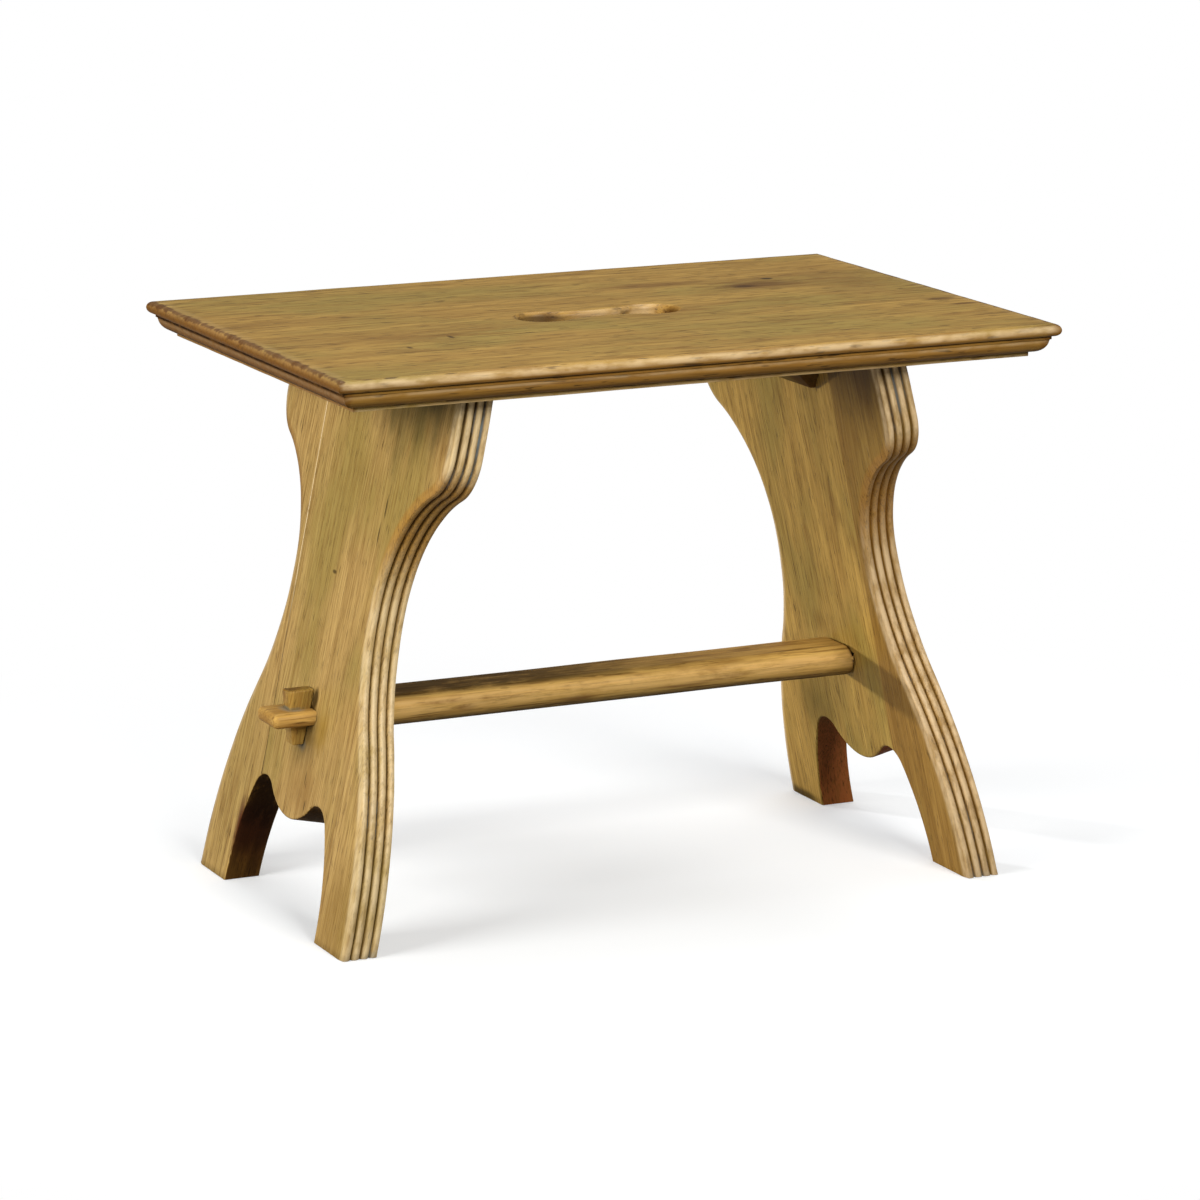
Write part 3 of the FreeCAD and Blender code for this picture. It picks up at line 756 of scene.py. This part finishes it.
def makeStretcher():
    s = stretcher
    piece = newPiece("stretcherOak")
    half, top, low = s["width"] / 2, s["top"], s["top"] - s["thickness"]
    topRound, bottomRound = s["topRound"], s["bottomRound"]
    end = innerFaceX(low) + s["endPast"]
    flank = top - topRound - low - bottomRound
    corners = [
        ((topRound - half, top - topRound), s["topSteps"], (0, 0, -flank)),
        ((bottomRound - half, low + bottomRound), s["bottomSteps"], (0, s["width"] - 2 * bottomRound, 0)),
        ((half - bottomRound, low + bottomRound), s["bottomSteps"], (0, 0, flank)),
        ((half - topRound, top - topRound), s["topSteps"], None),
    ]
    startPoint(Vector((-end, topRound - half, top)) * mm)
    for (y, z), steps, onward in corners:
        sweep(Vector((-end, y, z)) * mm, (1, 0, 0), math.pi / 2, steps)
        if onward:
            drawTo(Vector(onward) * mm)
    selectMesh()
    bpy.ops.mesh.edge_face_add()
    bpy.ops.mesh.extrude_region_move(TRANSFORM_OT_translate={"value": (2 * end * mm, 0, 0)})
    pickPairs(lambda a, b: abs(a.x - b.x) > end * mm)
    bpy.ops.mesh.subdivide(number_cuts=s["slices"])
    for side in (1, -1):
        normal = Vector((side * math.cos(rake), 0, math.sin(rake)))
        shoulder = Vector((side * (innerFaceX(0) - s["shoulderClear"]), 0, 0)) * mm
        bisect(shoulder, normal, True)
        # rows of points to round the shoulder over
        for back in s["shoulderRows"]:
            selectMesh()
            bpy.ops.mesh.bisect(plane_co=shoulder - normal * back * mm, plane_no=normal)
    closeMesh()
    radius = s["shoulderRound"]
    normals = [v.normal.copy() for v in piece.data.vertices]
    for v, normal in zip(piece.data.vertices, normals):
        back = (innerFaceX(v.co.z / mm) - abs(v.co.x) / mm) * math.cos(rake) - s["shoulderClear"]
        if back < radius:
            inward = radius - math.sqrt(radius ** 2 - (radius - max(back, 0)) ** 2)
            move = Vector((0, normal.y, normal.z)).normalized() * -inward * mm
            v.co += move - Vector((math.copysign(math.tan(rake) * move.z, v.co.x), 0, 0))
    ripple(piece, s["ripple"], s["waves"], s["seed"])
    return piece


def railMarks(co):
    # the top is dusty and carries painted shade of the seat, darkest to the left; the underside is darker with
    # painted shade; the front and back are rubbed golden by feet, with a painted highlight
    s = stretcher
    up = co.z / mm - s["top"]
    if abs(co.x) / mm > innerFaceX(co.z / mm) - 0.3:
        return 0, 0.2, 0
    side = s["width"] / 2 - abs(co.y) / mm
    rubbedAndHighlight = 0.8 * band(up, -19, -12, -6, -2.5) * ramp(side, 5, 1)
    dustAndShade = 0.9 * ramp(co.x / mm, 170, -80) * ramp(up, -4.2, -0.6)
    return rubbedAndHighlight, max(dustAndShade, 0.85 * ramp(up, -15, -24)), 0


def makeTongue():
    s = stretcher
    long = s["tenonReach"] - innerFaceX(s["tenonHeight"]) + s["tenonIn"]
    tongue = block("tongueOak", Vector((long / 2 - s["tenonReach"], 0, s["tenonHeight"])),
                   Vector((long, s["tenonWidth"], s["tenonThickness"])))
    editMode()
    selectMesh()
    bpy.ops.mesh.bevel(offset=s["tenonRound"] * mm, segments=6, affect="EDGES")
    closeMesh()
    slack = keyPiece["clearance"]
    cutter = keyBlank("mortiseCutter", slack, keyPiece["setback"], keyPiece["thickness"] + 2 * slack)
    closeMesh()
    cutAway(tongue, cutter)
    return tongue


def makeKey():
    k = keyPiece
    piece = keyBlank("leftKeyOak", 0, 0, k["thickness"])
    top = keySides(0, 0)[1][0]
    pickEdges(lambda co: co.z > top * mm - touch)
    bpy.ops.mesh.bevel(offset=k["headBevel"] * mm, segments=3, affect="EDGES")
    pickEdges(lambda co: co.z < (top - k["headBevel"] + k["bevelReach"]) * mm)
    bpy.ops.mesh.bevel(offset=k["arris"] * mm, segments=3, affect="EDGES")
    closeMesh()
    return piece


# corner block in the angle of seat and end, in millimetres, clear of both by a hair
cornerBlock = {
    "height": 35, "depth": 34, "lip": 4, "footLength": 94, "headLength": 158, "under": 395, "arris": 0.8,
    "headClear": 0.02, "backClear": 0.05,
}


def makeBlock():
    b = cornerBlock
    low = b["under"] - b["height"]
    corner, foot = innerFaceX(b["under"]), innerFaceX(low)
    middle = Vector((-corner, 0, (low + b["under"]) / 2 - b["headClear"]))
    piece = block("leftCornerBlockOak", middle, Vector((2 * b["depth"], b["headLength"], b["height"])))
    editMode()
    # sawn to the lean of the end, to its slope and to its two splayed ends
    bisect(Vector((-foot + b["backClear"], 0, low)) * mm, Vector((-b["height"], 0, foot - corner)), True)
    slope = Vector((-foot + b["lip"], 0, low))
    rise = Vector((-corner + b["depth"], 0, b["under"] - b["lip"])) - slope
    bisect(slope * mm, Vector((rise.z, 0, -rise.x)), True)
    for side in (1, -1):
        splay = (b["headLength"] - b["footLength"]) / 2
        bisect(Vector((0, side * b["footLength"] / 2, low)) * mm, Vector((0, side * b["height"], -splay)), True)
    selectMesh()
    bpy.ops.mesh.remove_doubles(threshold=weld)
    bpy.ops.mesh.bevel(offset=b["arris"] * mm, segments=2, affect="EDGES")
    closeMesh()
    return piece


seatPiece = makeSeat()
print("seat board shaped")
leftBoard, leftStrip = splitEnd(makeEnd(), ("leftEndBoardOak", "leftEndStripOak"))
print("left end shaped and parted at its glue joint")
rail = makeStretcher()
leftTongue = makeTongue()
rightTongue = turnedCopy(leftTongue, "rightTongueOak")
leftKey = makeKey()
rightKey = turnedCopy(leftKey, "rightKeyOak")
leftBlock = makeBlock()
rightBlock = turnedCopy(leftBlock, "rightCornerBlockOak")
print("stretcher, keys and corner blocks shaped")

onlySelect(rail)
leftTongue.select_set(True)
rightTongue.select_set(True)
bpy.ops.object.join()

setMarks(seatPiece, seatMarks)
setMarks(leftBoard, endMarks)
setMarks(leftStrip, endMarks)
setMarks(rail, railMarks)
ripple(seatPiece, seat["ripple"], seat["waves"], seat["seed"])
ripple(leftBoard, endBoard["ripple"], endBoard["waves"], endBoard["boardSeed"], onReeds)
ripple(leftStrip, endBoard["ripple"], endBoard["waves"], endBoard["stripSeed"], onReeds)
rightBoard = turnedCopy(leftBoard, "rightEndBoardOak")
rightStrip = turnedCopy(leftStrip, "rightEndStripOak")
# on the right board the raw red stays in the arch
for v, raw in zip(rightBoard.data.vertices, rightBoard.data.attributes["raw"].data):
    if v.co.z > endBoard["archTop"] * mm:
        raw.value = 0
for piece in (leftKey, rightKey, leftBlock, rightBlock):
    setMarks(piece, lambda co: (0, 0, 0))

upLeft = (0, math.pi / 2 - rake, 0)
upRight = (0, math.pi / 2 + rake, 0)
alongBlock = (0, 0, math.pi / 2)
# a stain: its middle and half sizes in millimetres, how ragged its edge is, the share of it that is full,
# its strength and its colour
# dirt round the key, with painted contact shade
keySmudgeAndShade = ((20, 28, 36), 1.1, 0.25, 0.68, "#42300f")
# a dark joint line round the tongue, widened with painted contact shade
tenonRim = ((9, 21.5, 9), 0.3, 0.8, 0.9, "#241405")
endRim = ((3.6, 900, 3.0), 3.0, 0.35, 0.85, "#4a2503", "rub")
endGrain = ((15, 900, 15), 0.4, 0.75, 0.6, "#70440c")
seatLook = {"light": "#b38f48", "dark": "#81602a", "raw": "#96631f", "shift": (40, 0, 0), "bend": 9.0,
            "wide": 2.3, "waxShare": 0.0, "patchShare": 0.75, "stains": [
    ((-280, 0, 406), *endGrain), ((280, 0, 406), *endGrain),
    ((-277.6, 0, 419.6), *endRim), ((277.6, 0, 419.6), *endRim),
    ((170, 66, 420), (60, 30, 8), 1.8, 0.1, 0.8, "#5d3d16"),
    ((150, 62, 420), (14, 8, 8), 1.4, 0.2, 0.8, "#41280c"),
    ((183, 88, 420), (6, 5, 6), 0.8, 0.4, 0.9, "#231405"),
    ((257, -50, 420), (20, 7, 6), 1.8, 0.2, 0.75, "#553712"),
    ((262, -76, 420), (14, 5, 6), 1.8, 0.2, 0.75, "#553712"),
    ((-160, -50, 420), (48, 24, 8), 1.4, 0.1, 0.45, "#7a5626"),
    ((-183, -82, 420), (3, 6, 6), 0.6, 0.3, 0.8, "#3a240a"),
    ((-139, -52, 420), (3, 9, 6), 0.6, 0.3, 0.8, "#3a240a"),
    ((95, 96, 420), (80, 18, 8), 1.8, 0.1, 0.6, "#65431a"),
    ((230, 60, 420), (60, 120, 8), 2.0, 0.0, 0.4, "#6f4d20"),
    ((62, 4, 413), (7, 14, 9), 0.8, 0.3, 0.8, "#46280c"),
    ((-34, 17, 415), (20, 8, 8), 1.0, 0.2, 0.7, "#4a2b10"),
    ((-57, 6, 416), (8, 12, 6), 1.0, 0.2, 0.6, "#6c6e64"),
]}
endDash = (0.8, 0.3, 0.8, "#33220b")
leftEndLook = {"turn": upLeft, "shift": (300, 40, 0), "raw": "#a4701f", "grime": "#200d02", "rubbedAndHighlight": "#e8d2a8",
               "grimeShare": 0.88, "wornShare": 0.64, "waxShare": 0.85, "lineShare": 0.38, "stains": [
    # painted shadow of the seat on the top of the board beside the front reeds, in two stains
    ((-178, -88, 388), (60, 112, 68), 1.4, 0.1, 0.82, "#493e18"),
    ((-174, -108, 392), (30, 28, 24), 0.9, 0.15, 0.75, "#2b260c"),
    ((-234, -6, 130), *keySmudgeAndShade), ((-231, 0, 143.4), *tenonRim),
    ((-232, -32, 137), (16, 14, 22), 1.0, 0.1, 0.6, "#8a6a1e"),
    # painted shadow to the right of the key's head
    ((-228, -10, 156), (10, 6, 11), 0.5, 0.4, 0.85, "#211505"),
    ((-239, -4, 122), (10, 11, 7), 1.2, 0.2, 0.6, "#55544a"),
    ((-258, -118, 24), (40, 48, 62), 1.6, 0.1, 0.5, "#86662c"),
    ((-244, -14, 94), (24, 36, 32), 1.6, 0.1, 0.5, "#86612f"),
    ((-239, -20, 100), (6, 1.3, 9), *endDash), ((-244, -27, 82), (6, 1.3, 6), *endDash),
    ((-195, -66, 304), (7, 1.6, 12), *endDash), ((-200, -62, 284), (7, 1.6, 12), *endDash),
    ((-208, 0, 246), (4, 5, 2), *endDash),
]}
leftStripLook = {"turn": upLeft, "shift": (800, 90, 30), "raw": "#8c5f1e", "grime": "#200d02",
                 "cloudShare": 0.3, "stains": [
    ((-246, 80, 24), (34, 11, 50), 0.5, 0.5, 0.9, "#4a2010"),
]}
# the right end's reeds: little dirt, and paler crowns with a painted highlight
rightReeds = {"grime": "#3a220a", "grimeShare": 0.18, "wornShare": 0.72, "rubbedAndHighlight": "#e8cca2", "raw": "#ad7830"}
rightEndLook = {**rightReeds, "raw": "#a85a2e", "turn": upRight, "shift": (1300, 10, 0),
                "light": "#c9a254", "dark": "#9b7738", "stains": [
    ((234, 6, 130), *keySmudgeAndShade), ((231, 0, 143.4), *tenonRim),
    ((216, 66, 92), (24, 46, 44), 1.6, 0.1, 0.65, "#66521e"),
    ((235, 120, 2), (14, 40, 7), 1.0, 0.2, 0.8, "#2d2109"),
    ((199, 26, 166), (14, 13, 12), 1.2, 0.1, 0.5, "#7a5a22"),
]}
rightStripLook = {**rightReeds, "turn": upRight, "shift": (1800, 70, 50),
                  "light": "#a47e3e", "dark": "#785621", "cloudShare": 0.25, "stains": [
    # painted shadow of the seat on the top front of the strip
    ((150, -120, 398), (60, 90, 74), 0.8, 0.1, 0.75, "#3a2409"),
]}
railStreak = (1.8, 0.1, 0.8, "#6b431a")
darkStreak = (*railStreak[:3], "#4a2a0c")
stretcherLook = {"shift": (0, 0, -140), "light": "#dcb264", "dark": "#ae8039", "line": "#5e3a12", "brown": "#744a1a",
                 "rubbedAndHighlight": "#e2b873", "grime": "#2a1a04", "wide": 1.4, "ringGap": 9.0, "ringShare": 0.35,
                 "patchShare": 0.9, "fibreShare": 0.35, "lineShare": 0.62, "poreShare": 0.4, "cloudShare": 0.2,
                 "wornShare": 0.85, "waxShare": 0.0, "stains": [
    ((-130, -23, 147), (36, 9, 2.4), *railStreak), ((-116, -23, 141), (12, 9, 4), *railStreak),
    ((-28, -23, 138), (22, 9, 3.4), *railStreak), ((17, -23, 147), (2.6, 9, 5), *railStreak),
    ((104, -23, 143), (36, 9, 2.4), *railStreak), ((60, -23, 139), (50, 9, 2), *railStreak),
    ((-252, 0, 141), (22, 26, 11), 0.9, 0.5, 0.62, "#8a5c22"),
    ((-244, -17, 142), (13, 5, 1.5), *darkStreak), ((-260, 2, 140), (5, 12, 1.4), *darkStreak),
    ((-243, 0, 149), (12, 15, 3), 0.8, 0.4, 0.6, "#8b9188"),
]}
leftKeyLook = {"turn": upLeft, "shift": (2600, 0, 0), "light": "#b98f48", "dark": "#6f4d1f",
               "patchShare": 0.9, "stains": [
    ((-244, 0, 163.5), (16, 12, 2.4), 1.0, 0.3, 0.75, "#4a3212"),
    ((-252, -6, 157), (2.5, 3, 9), 1.2, 0.2, 0.6, "#d8bd8c"),
    ((-246, 0, 149.5), (16, 12, 2), 1.2, 0.3, 0.7, "#5d645c"),
    ((-240, 2, 130), (5, 9, 9), 1.2, 0.2, 0.7, "#3c2e14"),
]}
rightKeyLook = {**leftKeyLook, "turn": upRight, "shift": (2900, 0, 0), "stains": []}
# the corner blocks are coloured dark brown, which paints the shade they sit in under the seat
leftBlockLook = {"turn": alongBlock, "shift": (3200, 0, 0), "light": "#573c18", "dark": "#3d2810", "rough": 0.7}
rightBlockLook = {**leftBlockLook, "shift": (3500, 0, 0)}
dressing = [
    (seatPiece, "frame", "oak_seat", "seat_board", "seatWaxedOak", seatLook),
    (leftBoard, "frame", "oak_ends", "left_end_board", "leftEndWaxedOak", leftEndLook),
    (leftStrip, "frame", "oak_ends", "left_end_strip", "leftStripWaxedOak", leftStripLook),
    (rightBoard, "frame", "oak_ends", "right_end_board", "rightEndWaxedOak", rightEndLook),
    (rightStrip, "frame", "oak_ends", "right_end_strip", "rightStripWaxedOak", rightStripLook),
    (rail, "frame", "oak_stretcher", "stretcher", "stretcherWaxedOak", stretcherLook),
    (leftKey, "left_key", "oak_keys", "left_key", "leftKeyWaxedOak", leftKeyLook),
    (rightKey, "right_key", "oak_keys", "right_key", "rightKeyWaxedOak", rightKeyLook),
    (leftBlock, "frame", "oak_blocks", "left_corner_block", "leftBlockPaintedShadeOak", leftBlockLook),
    (rightBlock, "frame", "oak_blocks", "right_corner_block", "rightBlockPaintedShadeOak", rightBlockLook),
]
for piece, body, slotName, node, finish, look in dressing:
    onlySelect(piece)
    bpy.ops.object.shade_smooth_by_angle(angle=math.radians(creaseAngle))
    piece.data.materials.clear()
    piece.data.materials.append(oakFinish(finish, look))
    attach(piece, body)
    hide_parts(node)
    print(piece.name, len(piece.data.polygons), "faces")


# floor and room in metres; the wood mirrors only a little of their white, which would veil its colour
stage = {
    "paper": "#f8fbff", "bounce": "#7c7c7a", "mirrorShare": 0.08, "shadowShare": 0.7, "white": 1.16,
    "worldLight": 0.12, "fadeFrom": 0.3, "fadeTo": 0.8, "size": 40, "drop": 0.0004,
}


def makeStage():
    bpy.ops.mesh.primitive_plane_add(size=stage["size"], location=(0, 0, -stage["drop"]))
    floor = named("paleFloor")
    # matt seamless paper: white to the eye, with a soft shadow that fades out before the horizon
    fade = {**softStep, "From Min": stage["fadeFrom"], "From Max": stage["fadeTo"]}
    paper = bpy.data.materials.new("seamlessPaper")
    room = bpy.data.worlds.new("paleRoom")
    bpy.context.scene.world = room
    seen = [
        ("camera", "LightPath", {}, {}, "Is Camera Ray"),
        ("glossy", "LightPath", {}, {}, "Is Glossy Ray"),
        ("through", "LightPath", {}, {}, "Is Transmission Ray"),
        ("mirrored", "Math", {**multiplyAdd, 1: stage["mirrorShare"]}, {0: "glossy", 2: "camera"}),
        ("seen", "Math", {"operation": "MAXIMUM"}, {0: "mirrored", 1: "through"}),
    ]
    paperRecipe = seen + [
        ("spot", "TexCoord", {}, {}, "Object"),
        ("far", "VectorMath", {"operation": "LENGTH"}, {0: "spot"}, 1),
        ("plain", "MapRange", {**fade, "To Min": 1 - stage["shadowShare"], "To Max": 1.0}, {"Value": "far"}),
        ("white", "MapRange", {**fade, "To Min": stage["white"], "To Max": 1.0}, {"Value": "far"}),
        ("share", "Math", {"operation": "MULTIPLY"}, {0: "seen", 1: "plain"}),
        ("shade", "Mix", {**colourMix, 6: hexColour(stage["bounce"]), 7: hexColour(stage["paper"])},
         {0: "seen"}, 2),
        ("matt", "BsdfDiffuse", {}, {"Color": "shade"}),
        ("glow", "Emission", {"Color": (1, 1, 1, 1)}, {"Strength": "white"}),
        ("both", "MixShader", {}, {0: "share", 1: "matt", 2: "glow"}),
        ("out", "OutputMaterial", {}, {"Surface": "both"}),
    ]
    roomRecipe = seen + [
        ("strength", "MapRange", {"To Min": stage["worldLight"], "To Max": 1.0}, {"Value": "seen"}),
        ("sky", "Background", {"Color": (1, 1, 1, 1)}, {"Strength": "strength"}),
        ("out", "OutputWorld", {}, {"Surface": "sky"}),
    ]
    fillTree(paper, paperRecipe)
    fillTree(room, roomRecipe)
    floor.data.materials.append(paper)


# places and sizes in metres, the cone in degrees
softBoxes = [
    {"name": "frontBox", "kind": "AREA", "at": (0.1, -2.4, 1.8), "aim": (0, 0, 0.25), "size": 1.1,
     "watts": 68, "tint": "#fffdf8", "glints": True},
    {"name": "leftBox", "kind": "AREA", "at": (-2.7, -0.4, 1.0), "aim": (0, 0, 0.25), "size": 1.5,
     "watts": 81, "tint": "#fffdf8", "glints": False},
    {"name": "topBox", "kind": "AREA", "at": (0.3, 0.6, 2.4), "aim": (0, 0, 0.3), "size": 1.8,
     "watts": 28, "tint": "#ffffff", "glints": True},
    {"name": "lowSpot", "kind": "SPOT", "at": (-0.62, 1.13, 0.30), "aim": (0.235, -0.04, 0.17), "size": 0.05,
     "watts": 75, "tint": "#ffffff", "glints": False, "cone": 20, "soft": 0.4},
]


def makeLights():
    for box in softBoxes:
        bpy.ops.object.light_add(type=box["kind"], location=box["at"])
        lamp = named(box["name"])
        if box["kind"] == "AREA":
            lamp.data.shape = "SQUARE"
            lamp.data.size = box["size"]
        else:
            lamp.data.shadow_soft_size = box["size"]
            lamp.data.spot_size = math.radians(box["cone"])
            lamp.data.spot_blend = box["soft"]
        lamp.data.energy = box["watts"]
        lamp.data.color = hexColour(box["tint"])[:3]
        lamp.visible_camera = False
        lamp.visible_glossy = box["glints"]
        lamp.rotation_euler = (Vector(box["aim"]) - Vector(box["at"])).to_track_quat("-Z", "Y").to_euler()


# place, lens and sensor in millimetres, reach in metres
camera = {
    "at": (-1491.9, -3188.3, 998.0), "looks": (0.4139, 0.8834, -0.2197), "lens": 146.8, "sensor": 36, "reach": 100,
}


def makeCamera():
    bpy.ops.object.camera_add(location=Vector(camera["at"]) * mm)
    view = named("photoCamera")
    view.rotation_euler = Vector(camera["looks"]).to_track_quat("-Z", "Y").to_euler()
    view.data.sensor_fit = "HORIZONTAL"
    view.data.sensor_width = camera["sensor"]
    view.data.lens = camera["lens"]
    view.data.clip_end = camera["reach"]
    bpy.context.scene.camera = view


makeStage()
makeLights()
makeCamera()
bpy.context.scene.view_settings.view_transform = "Standard"
print("floor, lights and camera placed")
